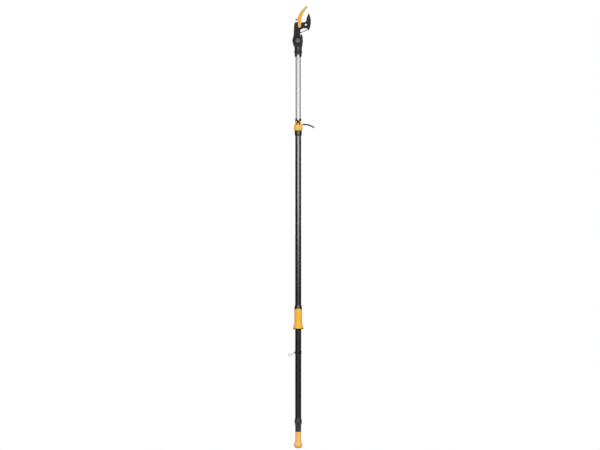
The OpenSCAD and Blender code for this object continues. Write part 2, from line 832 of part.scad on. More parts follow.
// Quick clamp at the top of the outer tube
bush_len = 52;
bush_wall = 1.8;
bush_bore_r = inner_r + 0.15;
bush_out = bush_bore_r + bush_wall;
clamp_pivot = [bush_out + 5.65, tube_z1 + 15];
lever_slot = clamp_lever_w / 2 + run_gap;
slot_x0 = inner_r - 5;
ear_t = 2.8;
ear_r = clamp_pin_d / 2 + 2.2;
cam_r = 3.9;
cam_lift = 0.2;
cam_at = 252;
// V cuts in the top edge of a ring, each pair facing the given turns from the front
module v_notches(top, depth, width, turns) {
  for (t = turns)
    rotate([0, 0, t])
      translate([0, 0, top])
        plate(-60, 60)
          polygon([[-width / 2, 0], [0, -depth], [width / 2, 0], [width / 2, 1], [-width / 2, 1]]);
}
module clamp_bush() {
  bush_top = tube_z1 + bush_len;
  color(black)
    difference() {
      ring(bush_out, bush_bore_r, tube_z1 + seat_gap, bush_top);
      v_notches(bush_top, 13, 20, [0, 90]);
      translate([slot_x0, -lever_slot, tube_z1 + 5])
        cube([30, 2 * lever_slot, 20]);
    }
}
// Cut through the collar's front and back: a notch from the top that parts into two legs
module collar_cut() {
  polygon([[-8.4, 40], [-7.8, 30], [-11.2, 18.4], [-7.6, 16], [-4.4, 18.6], [-1.4, 27.2], [1.4, 27.2],
    [4.4, 18.6], [7.6, 16], [11.2, 18.4], [7.8, 30], [8.4, 40]]);
}
module clamp_collar() {
  collar_top = tube_z1 + 38.5;
  collar_lip = 1;
  color(orange)
    difference() {
      union() {
        turned([[0, tube_z1 - 13.5], [outer_r + 2.2, tube_z1 - 13.5], [collar_r - 2.6, tube_z1 - 7.6],
          [collar_r - 0.9, tube_z1 - 5.6], [collar_r, tube_z1 - 3], [collar_r - 1, tube_z1 - 0.6],
          [collar_r - 1.8, tube_z1 + 3], [collar_r - 2, tube_z1 + 6], [collar_r - 2.8, tube_z1 + 13],
          [bush_out + 2.85, tube_z1 + 18], [bush_out + 1.35, tube_z1 + 23],
          [bush_out + collar_lip, tube_z1 + 30], [bush_out + collar_lip, collar_top], [0, collar_top]]);
        intersection() {
          plate(-lever_slot - ear_t, lever_slot + ear_t)
            translate(clamp_pivot)
              union() {
                circle(r = ear_r);
                translate([-12, -ear_r])
                  square([12, 2 * ear_r]);
              }
          translate([10, -50, tube_z1])
            cube([50, 100, 60]);
        }
      }
      translate([0, 0, tube_z1 - 20])
        cylinder(r = outer_r + seat_gap, h = 20);
      translate([0, 0, tube_z1 - eps])
        cylinder(r = bush_out + seat_gap, h = 60);
      translate([0, 0, tube_z1])
        plate(-60, 60) collar_cut();
      translate([slot_x0, -lever_slot, tube_z1 + 4.5])
        cube([30, 2 * lever_slot, 21]);
      y_bar(clamp_pin_d / 2 + seat_gap, -50, 50, clamp_pivot);
    }
}
module clamp_sleeve() {
  color(black)
    turned([[outer_r + seat_gap, tube_z1 - 42], [outer_r + 0.8, tube_z1 - 42], [outer_r + 2.8, tube_z1 - 37],
      [outer_r + 3.4, tube_z1 - 31], [outer_r + 3.2, tube_z1 - 13.6], [outer_r + seat_gap, tube_z1 - 13.6]]);
}
module clamp_shoe() {
  shoe_x0 = inner_r - 2;
  shoe_x1 = clamp_pivot.x - cam_r - run_gap;
  shoe_w = clamp_lever_w;
  shoe_h = 14;
  color(black)
    difference() {
      translate([shoe_x0, -shoe_w / 2, clamp_pivot.y - shoe_h / 2])
        cube([shoe_x1 - shoe_x0, shoe_w, shoe_h]);
      translate([0, 0, clamp_pivot.y - shoe_h])
        cylinder(r = inner_r + run_gap, h = 2 * shoe_h);
    }
}
module clamp_lever() {
  half = clamp_lever_w / 2;
  tip = [clamp_lever_len, -14];
  crest = [30, 2.2];
  root = [-1, 4.2];
  upper = arc3(root + [0, clamp_lever_t / 2 - 0.4], crest + [0, clamp_lever_t / 2], tip + [1.7, 2.8]);
  lower = arc3(tip - [1.7, 2.8], crest - [0, clamp_lever_t / 2], root - [0, clamp_lever_t / 2 - 0.4]);
  color(dark_grey)
    difference() {
      union() {
        plate(-half, half)
          translate(clamp_pivot)
            polygon(concat(upper, lower));
        y_bar(cam_r, -half, half, clamp_pivot + cam_lift * [cos(cam_at), sin(cam_at)]);
      }
      y_bar(clamp_pin_d / 2 + pin_play, -50, 50, clamp_pivot);
    }
}
module clamp_pin() {
  color(steel)
    y_bar(clamp_pin_d / 2, -lever_slot - ear_t, lever_slot + ear_t, clamp_pivot);
}

// Pull grip
arch = 29;
grip_bore = outer_r + run_gap;
arch_top = grip_z + grip_len;
ring_top = arch_top + 18;
head_sink = 1.8;
module grip_arch(r) {
  y_bar(r, -60, 60, [0, arch_top - arch]);
}
module grip_sleeve() {
  r = grip_d / 2;
  rim = flange_d / 2;
  color(orange)
    difference() {
      intersection() {
        turned([[grip_bore, grip_z], [rim - 3.4, grip_z + 0.4], [rim - 0.9, grip_z + 2],
          [rim, grip_z + 4.6], [rim - 0.6, grip_z + 9], [rim - 2.4, grip_z + 14],
          [rim - 4.4, grip_z + 20],
          [r + 2.1, grip_z + 26], [r + 1, grip_z + 31], [r + 0.4, grip_z + 36], [r, grip_z + 41],
          [r, arch_top - 10], [r - 0.6, arch_top], [grip_bore, arch_top]]);
        union() {
          grip_arch(arch);
          translate([-60, -60, grip_z])
            cube([120, 120, grip_len - arch]);
        }
      }
      translate([-key_w / 2 - seat_gap, 0, key_z - key_h / 2 - seat_gap])
        cube([key_w + 2 * seat_gap, grip_bore + 2.5, key_h + 2 * seat_gap]);
      for (s = [-1, 1]) {
        y_bar(screw_r + seat_gap, 0, 50, [0, key_z + screw_step * s]);
        y_bar(screw_head_r + seat_gap, r - head_sink, 50, [0, key_z + screw_step * s]);
      }
    }
}
module grip_ring() {
  color(black)
    difference() {
      turned([[grip_bore, arch_top - 12], [grip_d / 2 - 0.6, arch_top - 12], [grip_d / 2 - 0.5, arch_top + 3],
        [grip_d / 2 - 1.3, arch_top + 8], [outer_r + 1.4, ring_top], [grip_bore, ring_top]]);
      grip_arch(arch + seat_gap);
    }
}
module grip_carriage() {
  color(black)
    difference() {
      union() {
        translate([0, 0, key_z - 20])
          cylinder(r = outer_bore_r - run_gap, h = carriage_top - key_z + 20);
        translate([-key_w / 2, 0, key_z - key_h / 2])
          cube([key_w, grip_bore + 2.5 - seat_gap, key_h]);
      }
      translate([run_out - strap_t - run_gap, slot_y0, carriage_top - draw_grip - run_gap])
        cube([strap_t + 2 * run_gap, slot_y1 - slot_y0, 20]);
      translate([0, 0, key_z - 30])
        strap_slot(lower_grip + 10);
      for (s = [-1, 1])
        y_bar(screw_r + seat_gap, 6, 50, [0, key_z + screw_step * s]);
    }
}
module carriage_screws() {
  head = grip_d / 2 - head_sink;
  color(steel)
    for (s = [-1, 1]) {
      y_bar(screw_r, 7, head + eps, [0, key_z + screw_step * s]);
      y_bar(screw_head_r, head, head + 1.4, [0, key_z + screw_step * s]);
    }
}

// Wire catch on its saddle
saddle_r = outer_r + 1.6;
catch_pivot = [-outer_r - 3.4, catch_z];
catch_half = 5.4;
ear_step = 3.6;
ear_half = 1.2;
catch_bend = [-42, catch_z - 16];
catch_curl = [-49, catch_z - 15.5];
catch_tip = [-52, catch_z - 5];
function in_xz(p) = [p.x, 0, p.y];
module catch_saddle() {
  color(black)
    difference() {
      union() {
        ring(saddle_r, outer_r + seat_gap, catch_z - 8, catch_z + 8);
        for (s = [-1, 1])
          translate([catch_pivot.x, s * ear_step - ear_half, catch_z - 3])
            cube([6, 2 * ear_half, 6]);
        for (s = [-1, 1])
          y_bar(3, s * ear_step - ear_half, s * ear_step + ear_half, catch_pivot);
      }
      y_bar(catch_wire / 2 + pin_play, -50, 50, catch_pivot);
      y_bar(screw_r + seat_gap, 0, 50, [0, catch_z]);
      translate([0, 0, catch_z - 20])
        cylinder(r = outer_r + seat_gap, h = 40);
    }
}
module catch_screw() {
  color(steel) {
    y_bar(screw_r, outer_bore_r - 1, saddle_r + eps, [0, catch_z]);
    y_bar(screw_head_r, saddle_r, saddle_r + 1.6, [0, catch_z]);
  }
}
module wire_catch() {
  r = catch_wire / 2;
  arm_r = r - 0.1;
  color(steel) {
    y_bar(r, -catch_half, catch_half, catch_pivot);
    bar_between(in_xz(catch_pivot), in_xz(catch_bend), arm_r);
    bar_between(in_xz(catch_bend), in_xz(catch_curl), arm_r);
    bar_between(in_xz(catch_curl), in_xz(catch_tip), arm_r);
    for (p = [catch_bend, catch_curl, catch_tip])
      translate(in_xz(p))
        sphere(r = r);
  }
}

// Foot: end collar on the tube, pull handle on the lower strap
spigot_r = 10;
nozzle_r = outer_r - 0.6;
anchor_z = handle_len - 15;
strap_root = handle_len - 30;
spigot_len = 22;
anchor_r = 1.5;
module end_collar() {
  r = end_collar_d / 2;
  z0 = handle_len + run_gap;
  color(black)
    turned([[spigot_r + run_gap, z0], [nozzle_r, z0], [nozzle_r, z0 + 26], [nozzle_r + 0.5, z0 + 31],
      [outer_r + 0.7, z0 + 38], [outer_r + 1.6, z0 + 43], [r - 0.6, z0 + 47], [r, z0 + 50], [r, z0 + 56],
      [r - 0.6, z0 + 59.5], [outer_r + 2, z0 + 63], [outer_r + 1.3, z0 + 68], [outer_r + 0.6, z0 + 74],
      [outer_r + seat_gap, z0 + 74], [outer_r + seat_gap, tube_z0], [spigot_r + run_gap, tube_z0]]);
}
module end_handle() {
  r = handle_d / 2;
  rim = rim_d / 2;
  color(orange)
    difference() {
      turned(concat(
        [[0, 0], [rim - 9, 0], [rim - 7, 1.8], [rim - 3, 7.6], [rim - 0.8, 12.6], [rim, 16]],
        arc3([rim - 0.7, 19.6], [r + 2.1, 32], [r, 50], 10),
        [[r, handle_len - 2], [r - 1.2, handle_len], [spigot_r, handle_len],
          [spigot_r, handle_len + spigot_len - 2], [spigot_r - 2, handle_len + spigot_len],
          [0, handle_len + spigot_len]]));
      translate([0, 0, strap_root])
        strap_slot(80);
      x_bar(anchor_r + seat_gap, -r - 5, r + 5, anchor_z);
    }
}
module lower_strap() {
  z0 = strap_root + seat_gap;
  z1 = key_z - 30 + lower_grip + 10 - seat_gap;
  color(web_grey)
    difference() {
      translate([-strap_t / 2, -strap_w / 2, z0])
        cube([strap_t, strap_w, z1 - z0]);
      x_bar(anchor_r + seat_gap, -50, 50, anchor_z);
    }
}
module anchor_pin() {
  color(steel)
    x_bar(anchor_r, -handle_d / 2 + 0.6, handle_d / 2 - 0.6, anchor_z);
}

hook();
cutting_blade();
pivot_bolt();
head_housing();
head_cover();
cover_screws();
gear_drum();
drum_axle();
drive_strap();
return_spring();
spring_post();
spring_pin();
tilt_pin();
tilt_nut();
strap_bush();
tilt_disc();
tilt_fork();
socket_screws();
lock_lever();
lock_pin();
inner_tube();
guide_plug();
pull_strap();
strap_block();
strap_sheave();
sheave_pin();
draw_strap();
outer_tube();
clamp_bush();
clamp_collar();
clamp_sleeve();
clamp_shoe();
clamp_lever();
clamp_pin();
grip_sleeve();
grip_ring();
grip_carriage();
carriage_screws();
catch_saddle();
catch_screw();
wire_catch();
end_collar();
end_handle();
lower_strap();
anchor_pin();
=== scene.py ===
import bpy
import bmesh
import json
import math
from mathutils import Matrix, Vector
from mathutils.geometry import tessellate_polygon


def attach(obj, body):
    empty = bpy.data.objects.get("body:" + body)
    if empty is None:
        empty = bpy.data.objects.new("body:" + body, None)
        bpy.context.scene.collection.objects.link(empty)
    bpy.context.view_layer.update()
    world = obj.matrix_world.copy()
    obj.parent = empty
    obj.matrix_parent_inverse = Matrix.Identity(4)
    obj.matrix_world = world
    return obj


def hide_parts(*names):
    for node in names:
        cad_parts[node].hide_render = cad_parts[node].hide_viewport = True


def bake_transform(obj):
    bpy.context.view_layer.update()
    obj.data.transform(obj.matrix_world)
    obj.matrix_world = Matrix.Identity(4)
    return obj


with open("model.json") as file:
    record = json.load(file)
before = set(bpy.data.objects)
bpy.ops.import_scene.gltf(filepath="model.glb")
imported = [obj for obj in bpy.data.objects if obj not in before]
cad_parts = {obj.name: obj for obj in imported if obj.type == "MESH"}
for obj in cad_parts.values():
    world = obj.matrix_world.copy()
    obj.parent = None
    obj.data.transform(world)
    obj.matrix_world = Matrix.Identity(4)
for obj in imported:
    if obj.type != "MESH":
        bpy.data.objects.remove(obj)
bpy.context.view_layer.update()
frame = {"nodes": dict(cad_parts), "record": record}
nodes = frame["nodes"]
MM = 0.001

# Places shared with the solids, in millimetres, as (x, z) in the plane of the head
PIVOT = (7.0, 2290.3)
TILT = (-2.0, 2211.3)
DRUM = (-5.939, 2264.906)
SPRING_POST = (15.2, 2255.9)
SPRING_PIN = (52.6, 2271.7)
CLAMP = (22.7, 1752.3)
SOCKET_SCREW_Z = 2150.3
SHEAVE_Z = 911.0
CATCH = (-19.9, 518.0)
# Straps: width, thickness, the plane of the drive, and the radii on which they bend
STRAP_W, STRAP_T, STRAP_Y = 7.8, 1.0, 2.0
DRUM_WRAP_R, SHEAVE_WRAP_R = 13.43, 7.5
# The strap's run up to the drum passes the guide bush at this x
STRAP_X = 3.8
# The floor lies below the reach of the pulled handle
FLOOR_Z = -114.0


# Small mesh helpers

def finish_mesh(name, bm, sharp=35.0):
    """A smooth-shaded object from a bmesh that was built in millimetres."""
    bmesh.ops.recalc_face_normals(bm, faces=bm.faces)
    bmesh.ops.scale(bm, vec=(MM, MM, MM), verts=bm.verts)
    mesh = bpy.data.meshes.new(name)
    bm.to_mesh(mesh)
    bm.free()
    mesh.shade_smooth()
    mesh.set_sharp_from_angle(angle=math.radians(sharp))
    obj = bpy.data.objects.new(name, mesh)
    bpy.context.scene.collection.objects.link(obj)
    return obj


def sweep(bm, path, section):
    """Carries a section, points (u, v) or a function of the way along, on a path without twist."""
    path = [Vector(p) for p in path]
    last = len(path) - 1
    tangents = [(path[min(i + 1, last)] - path[max(i - 1, 0)]).normalized() for i in range(last + 1)]
    side = tangents[0].cross(Vector((0, 1, 0)))
    if side.length < 0.1:
        side = tangents[0].cross(Vector((1, 0, 0)))
    side.normalize()
    rings = []
    for i, t in enumerate(tangents):
        if i:
            side = (side - t * side.dot(t)).normalized()
        up = t.cross(side)
        shape = section(i / last) if callable(section) else section
        rings.append([bm.verts.new(path[i] + side * u + up * v) for u, v in shape])
    n = len(rings[0])
    for a, b in zip(rings, rings[1:]):
        for k in range(n):
            bm.faces.new((a[k], a[(k + 1) % n], b[(k + 1) % n], b[k]))
    bm.faces.new(rings[0])
    bm.faces.new(list(reversed(rings[-1])))


def turn(bm, profile, spot, sides=64, closed=False):
    """Turns (radius, height) points, placed by spot(r, angle, height); r may vary with the angle."""
    rings = []
    for r, h in profile:
        if r == 0:
            rings.append([bm.verts.new(spot(0, 0, h))])
            continue
        angles = [2 * math.pi * k / sides for k in range(sides)]
        rings.append([bm.verts.new(spot(r(t) if callable(r) else r, t, h)) for t in angles])
    for a, b in list(zip(rings, rings[1:])) + ([(rings[-1], rings[0])] if closed else []):
        for k in range(sides):
            j = (k + 1) % sides
            if len(a) == 1:
                bm.faces.new((a[0], b[j], b[k]))
            elif len(b) == 1:
                bm.faces.new((a[k], a[j], b[0]))
            else:
                bm.faces.new((a[k], a[j], b[j], b[k]))


def about_y(x, z):
    return lambda r, t, h: (x + r * math.cos(t), h, z + r * math.sin(t))


def about_z(r, t, h):
    return (r * math.cos(t), r * math.sin(t), h)


def hexagon(r):
    """Radius of a hexagon with corners at r, as a function of the angle."""
    return lambda t: r * math.cos(math.pi / 6) / math.cos(t % (math.pi / 3) - math.pi / 6)


def arc3(a, b, c, steps=24):
    """Points from a to c on the circle through b, all as (x, z)."""
    d = 2 * (a[0] * (b[1] - c[1]) + b[0] * (c[1] - a[1]) + c[0] * (a[1] - b[1]))
    sq = [p[0] ** 2 + p[1] ** 2 for p in (a, b, c)]
    ux = (sq[0] * (b[1] - c[1]) + sq[1] * (c[1] - a[1]) + sq[2] * (a[1] - b[1])) / d
    uz = (sq[0] * (c[0] - b[0]) + sq[1] * (a[0] - c[0]) + sq[2] * (b[0] - a[0])) / d
    t0, tb, t1 = (math.atan2(p[1] - uz, p[0] - ux) for p in (a, b, c))
    full = 2 * math.pi
    gap = (t1 - t0) % full
    if (tb - t0) % full > gap:
        gap -= full
    r = math.hypot(a[0] - ux, a[1] - uz)
    angles = [t0 + gap * k / steps for k in range(steps + 1)]
    return [(ux + r * math.cos(t), uz + r * math.sin(t)) for t in angles]


def inset(loop, d):
    """A closed loop of (x, z) points, counter-clockwise, drawn in by d."""
    out = []
    n = len(loop)
    for i, p in enumerate(loop):
        e1 = (Vector(p) - Vector(loop[i - 1])).normalized()
        e2 = (Vector(loop[(i + 1) % n]) - Vector(p)).normalized()
        n1, n2 = Vector((-e1.y, e1.x)), Vector((-e2.y, e2.x))
        out.append(Vector(p) + (n1 + n2) * d / max(1 + n1.dot(n2), 0.6))
    return out


def plate(bm, loop, y0, y1, front, back, hole=None):
    """A flat piece between y0 and y1 with rounded edges, and a round hole (x, z, r) through it."""
    quarter = (0, 0.4, 0.8, 1.2, math.pi / 2)
    loops = [(front * (1 - math.sin(t)), y0 + front * (1 - math.cos(t))) for t in quarter]
    loops += [(back * (1 - math.cos(t)), y1 - back * (1 - math.sin(t))) for t in quarter]
    rings = [[bm.verts.new((p[0], y, p[1])) for p in inset(loop, d)] for d, y in loops]
    n = len(loop)
    for a, b in zip(rings, rings[1:]):
        for k in range(n):
            bm.faces.new((a[k], a[(k + 1) % n], b[(k + 1) % n], b[k]))
    ends = [[rings[0]], [rings[-1]]]
    if hole:
        x, z, r = hole
        sides, lip = 24, 0.3
        levels = ((r + lip, y0), (r, y0 + lip), (r, y1 - lip), (r + lip, y1))
        walls = [[bm.verts.new((x + u, y, z + v)) for u, v in circle(q, sides)] for q, y in levels]
        for a, b in zip(walls, walls[1:]):
            for k in range(sides):
                bm.faces.new((a[k], b[k], b[(k + 1) % sides], a[(k + 1) % sides]))
        ends[0].append(walls[0])
        ends[1].append(walls[-1])
    for loops in ends:
        verts = [v for ring in loops for v in ring]
        for tri in tessellate_polygon([[v.co for v in ring] for ring in loops]):
            bm.faces.new([verts[i] for i in tri])


def circle(r, sides):
    angles = [2 * math.pi * k / sides for k in range(sides)]
    return [(r * math.cos(t), r * math.sin(t)) for t in angles]


def polar(r, degrees):
    return (r * math.cos(math.radians(degrees)), r * math.sin(math.radians(degrees)))


def run(a, b, steps):
    """Points on a straight line from a to b."""
    return [tuple(p + (q - p) * k / steps for p, q in zip(a, b)) for k in range(steps + 1)]


def ridge(base, swell, clip, power=1):
    """The round section of a raised ridge that thins towards both its ends."""
    return lambda s: circle(base + swell * math.sin(math.pi * min(max(s, clip), 1 - clip)) ** power, 8)


def skin(bm, outer, inward, up):
    """A thin shell turned about the pole's axis, from its outer line of (radius, height)."""
    inner = [(p.x - inward, p.y + up) for p in reversed(outer)]
    turn(bm, [tuple(p) for p in outer] + inner, about_z, 96, closed=True)


def smooth_path(points, steps=8):
    """A Catmull-Rom curve through the points."""
    pts = [Vector(p) for p in points]
    pts = [2 * pts[0] - pts[1]] + pts + [2 * pts[-1] - pts[-2]]
    out = []
    for i in range(1, len(pts) - 2):
        p0, p1, p2, p3 = pts[i - 1:i + 3]
        for k in range(steps):
            t = k / steps
            out.append(0.5 * (2 * p1 + (p2 - p0) * t + (2 * p0 - 5 * p1 + 4 * p2 - p3) * t * t
                              + (3 * p1 - p0 - 3 * p2 + p3) * t ** 3))
    out.append(pts[-2])
    return out


# Materials

def rgb(r, g, b):
    """Linear colour from an sRGB one of 0 to 255."""
    parts = [c / 255 for c in (r, g, b)]
    return tuple(p / 12.92 if p <= 10 / 255 else ((p + 0.055) / 1.055) ** 2.4 for p in parts) + (1.0,)


class Shader:
    """Builds one procedural material around a Principled shader."""

    def __init__(self, name, rough, metal=0.0, **sockets):
        self.mat = bpy.data.materials.new(name)
        self.mat.use_nodes = True
        self.tree = self.mat.node_tree
        self.bsdf = self.tree.nodes["Principled BSDF"]
        self.bsdf.inputs["Roughness"].default_value = rough
        self.bsdf.inputs["Metallic"].default_value = metal
        for key, value in sockets.items():
            self.bsdf.inputs[key.replace("_", " ")].default_value = value
        self.coords = self.tree.nodes.new("ShaderNodeTexCoord").outputs["Object"]
        self.height = None

    def node(self, kind, **values):
        n = self.tree.nodes.new(kind)
        for key, value in values.items():
            if key in n.inputs:
                n.inputs[key].default_value = value
            else:
                setattr(n, key, value)
        return n

    def link(self, a, b):
        self.tree.links.new(a, b)

    def noise(self, scale, stretch=(1, 1, 1), detail=3.0):
        mapping = self.node("ShaderNodeMapping")
        mapping.inputs["Scale"].default_value = stretch
        self.link(self.coords, mapping.inputs["Vector"])
        n = self.node("ShaderNodeTexNoise", Scale=scale, Detail=detail)
        self.link(mapping.outputs["Vector"], n.inputs["Vector"])
        return n.outputs["Fac"]

    def spread(self, fac, low, high):
        """Maps a texture's middle range onto low..high."""
        m = self.node("ShaderNodeMapRange")
        m.inputs["From Min"].default_value = 0.3
        m.inputs["From Max"].default_value = 0.7
        m.inputs["To Min"].default_value = low
        m.inputs["To Max"].default_value = high
        self.link(fac, m.inputs["Value"])
        return m.outputs["Result"]

    def colours(self, fac, dark, light):
        mix = self.node("ShaderNodeMix", data_type="RGBA")
        mix.inputs[6].default_value = dark
        mix.inputs[7].default_value = light
        self.link(self.spread(fac, 0.0, 1.0), mix.inputs[0])
        self.link(mix.outputs[2], self.bsdf.inputs["Base Color"])
        return mix

    def rough(self, fac, low, high):
        self.link(self.spread(fac, low, high), self.bsdf.inputs["Roughness"])

    def bump(self, fac, strength, distance):
        b = self.node("ShaderNodeBump", Strength=strength, Distance=distance)
        self.link(fac, b.inputs["Height"])
        if self.height:
            self.link(self.height, b.inputs["Normal"])
        self.height = b.outputs["Normal"]
        self.link(self.height, self.bsdf.inputs["Normal"])

    def by_height(self, stops, ragged):
        """Colours that follow the height in metres, with a ragged border between them."""
        split = self.node("ShaderNodeSeparateXYZ")
        self.link(self.coords, split.inputs[0])
        shift = self.node("ShaderNodeMath", operation="ADD")
        self.link(split.outputs["Z"], shift.inputs[0])
        self.link(self.spread(self.noise(70, detail=5), -ragged, ragged), shift.inputs[1])
        low, high = stops[0][0], stops[-1][0]
        place = self.node("ShaderNodeMapRange")
        place.inputs["From Min"].default_value = low
        place.inputs["From Max"].default_value = high
        self.link(shift.outputs[0], place.inputs["Value"])
        ramp = self.node("ShaderNodeValToRGB")
        elements = ramp.color_ramp.elements
        while len(elements) < len(stops):
            elements.new(0.5)
        for element, (z, colour) in zip(elements, stops):
            element.position = (z - low) / (high - low)
            element.color = colour
        self.link(place.outputs["Result"], ramp.inputs["Fac"])
        self.link(ramp.outputs["Color"], self.bsdf.inputs["Base Color"])
        return ramp.outputs["Color"]

    def worn_edges(self, base, light, amount, radius):
        """Lightens the colour along edges, where hands and branches rub, in broken patches."""
        soft = self.node("ShaderNodeBevel", samples=4, Radius=radius)
        hard = self.node("ShaderNodeNewGeometry")
        turn = self.node("ShaderNodeVectorMath", operation="DOT_PRODUCT")
        self.link(soft.outputs["Normal"], turn.inputs[0])
        self.link(hard.outputs["Normal"], turn.inputs[1])
        edge = self.node("ShaderNodeMapRange")
        edge.inputs["From Min"].default_value = 0.97
        edge.inputs["From Max"].default_value = 0.8
        edge.inputs["To Max"].default_value = amount
        self.link(turn.outputs["Value"], edge.inputs["Value"])
        patchy = self.node("ShaderNodeMath", operation="MULTIPLY")
        self.link(edge.outputs["Result"], patchy.inputs[0])
        self.link(self.spread(self.noise(210, detail=4), 0.15, 1.0), patchy.inputs[1])
        wear = self.node("ShaderNodeMix", data_type="RGBA")
        wear.inputs[7].default_value = light
        self.link(patchy.outputs["Value"], wear.inputs[0])
        self.link(base, wear.inputs[6])
        self.link(wear.outputs[2], self.bsdf.inputs["Base Color"])


def moulded(name, dark, light, low=0.38, high=0.5, grain=2600, wear=None, **sockets):
    """Moulded plastic: cloudy tone, fine spark-eroded grain and soft wear at the edges."""
    s = Shader(name, low, **sockets)
    mix = s.colours(s.noise(34, detail=5), dark, light)
    s.rough(s.noise(120, detail=4), low, high)
    s.bump(s.noise(grain, detail=2), 0.22, 0.00012)
    s.bump(s.noise(60, detail=2), 0.08, 0.0006)
    if wear:
        s.worn_edges(mix.outputs[2], wear, 0.6, 0.0007)
    return s.mat


def drawn_metal(name, dark, light, low, high, stretch=(1, 1, 0.012), grain=900, metal=1.0, **sockets):
    """Metal with fine lines along its draw direction."""
    s = Shader(name, low, metal, **sockets)
    s.colours(s.noise(45, stretch, 5), dark, light)
    s.rough(s.noise(grain, stretch, 4), low, high)
    s.bump(s.noise(grain * 2, stretch, 2), 0.1, 0.00006)
    return s.mat


def hook_paint():
    """Orange coat that branches have rubbed dull towards the tip and bare along the edges."""
    s = Shader("hook_paint", 0.38)
    # The lowest stop, level with the pivot, is a paler peach than the orange above it
    coat = s.by_height([(2.29, rgb(232, 174, 98)), (2.314, rgb(232, 168, 48)), (2.34, rgb(230, 168, 58)),
                        (2.362, rgb(215, 170, 68)), (2.385, rgb(202, 186, 102)),
                        (2.4, rgb(184, 184, 134))], 0.005)
    s.rough(s.noise(90, detail=4), 0.3, 0.46)
    s.bump(s.noise(900, detail=2), 0.2, 0.0001)
    s.bump(s.noise(140, (1, 1, 0.2), 3), 0.1, 0.0003)
    s.worn_edges(coat, rgb(176, 168, 150), 0.7, 0.0009)
    return s.mat


def handle_plastic():
    """Orange plastic with painted shade: darker in a band from 3.5 to 8 mm above the bottom edge, where the
    rounded underside turns from the light, and a little lighter again below it.
    """
    s = Shader("orange_handle", 0.42)
    # Painted shade for the underside of the foot, darker than the plain orange above it
    painted_shade_orange, unshaded_orange = rgb(206, 162, 98), rgb(252, 192, 105)
    s.by_height([(0.0, rgb(228, 182, 112)), (0.0035, painted_shade_orange), (0.0082, painted_shade_orange), (0.011, unshaded_orange),
                 (0.12, unshaded_orange)], 0.0006)
    s.rough(s.noise(120, detail=4), 0.42, 0.54)
    s.bump(s.noise(2600, detail=2), 0.22, 0.00012)
    s.bump(s.noise(60, detail=2), 0.08, 0.0006)
    return s.mat


def blade_coat():
    """Black coat, ground away to bare steel on the slope behind the cutting edge."""
    s = Shader("blade_coat", 0.36, Specular_IOR_Level=0.25)
    coat = s.colours(s.noise(34, detail=5), rgb(20, 20, 22), rgb(29, 29, 31)).outputs[2]
    s.rough(s.noise(120, detail=4), 0.32, 0.44)
    s.bump(s.noise(1400, detail=2), 0.22, 0.00012)
    facing = s.node("ShaderNodeSeparateXYZ")
    s.link(s.tree.nodes["Texture Coordinate"].outputs["Normal"], facing.inputs[0])
    steep = s.node("ShaderNodeMapRange")
    steep.inputs["From Min"].default_value = 0.985
    steep.inputs["From Max"].default_value = 0.96
    s.link(facing.outputs["Y"], steep.inputs["Value"])
    rear = s.node("ShaderNodeMath", operation="GREATER_THAN")
    rear.inputs[1].default_value = 0.4
    s.link(facing.outputs["Y"], rear.inputs[0])
    ground = s.node("ShaderNodeMath", operation="MULTIPLY")
    s.link(steep.outputs["Result"], ground.inputs[0])
    s.link(rear.outputs[0], ground.inputs[1])
    steel = s.node("ShaderNodeMix", data_type="RGBA")
    s.colours(s.noise(500, (1, 0.1, 0.1), 4), rgb(150, 152, 156), rgb(190, 192, 196))
    bright = s.bsdf.inputs["Base Color"].links[0].from_socket
    s.link(ground.outputs[0], steel.inputs[0])
    s.link(coat, steel.inputs[6])
    s.link(bright, steel.inputs[7])
    s.worn_edges(steel.outputs[2], rgb(90, 90, 92), 0.6, 0.0007)
    s.link(ground.outputs[0], s.bsdf.inputs["Metallic"])
    return s.mat


# Stretch of the grain where a metal has no draw direction
EVEN = (1, 1, 1)
MATERIALS = {
    "hook_paint": hook_paint(),
    "blade_coat": blade_coat(),
    "orange_plastic": moulded("orange_plastic", rgb(240, 178, 48), rgb(248, 188, 58), 0.4, 0.52),
    "black_plastic": moulded("black_plastic", rgb(20, 20, 21), rgb(29, 29, 30), 0.42, 0.56,
                             wear=rgb(58, 58, 60), Specular_IOR_Level=0.26),
    "black_gloss": moulded("black_gloss", rgb(16, 16, 17), rgb(24, 24, 25), 0.3, 0.38, 1800, IOR=1.7),
    "silver_tube": drawn_metal("silver_tube", rgb(208, 209, 211), rgb(226, 227, 228), 0.46, 0.56, metal=0.8),
    "black_tube": drawn_metal("black_tube", rgb(9, 9, 10), rgb(15, 15, 16), 0.2, 0.27, metal=0.0, IOR=2.0),
    "grey_disc": moulded("grey_disc", rgb(78, 78, 80), rgb(96, 96, 98), 0.4, 0.52, wear=rgb(130, 130, 130)),
    "olive_lever": moulded("olive_lever", rgb(34, 31, 20), rgb(48, 44, 31), 0.38, 0.52,
                           wear=rgb(104, 100, 90), Specular_IOR_Level=0.25),
    "grey_lever": moulded("grey_lever", rgb(32, 32, 34), rgb(44, 44, 46), 0.38, 0.52, wear=rgb(84, 84, 84),
                          Specular_IOR_Level=0.3),
    "strap_web": moulded("strap_web", rgb(38, 38, 40), rgb(58, 58, 60), 0.75, 0.9, 1800),
    "spring_wire": drawn_metal("spring_wire", rgb(92, 94, 98), rgb(124, 126, 130), 0.3, 0.42, EVEN, 1500),
    "drive_metal": drawn_metal("drive_metal", rgb(120, 121, 124), rgb(146, 147, 150), 0.34, 0.48, EVEN, 700),
    "black_steel": drawn_metal("black_steel", rgb(28, 28, 30), rgb(42, 42, 45), 0.34, 0.46, EVEN, 700,
                               metal=0.0),
    "zinc_steel": drawn_metal("zinc_steel", rgb(160, 162, 166), rgb(188, 190, 194), 0.3, 0.44, EVEN, 700),
}
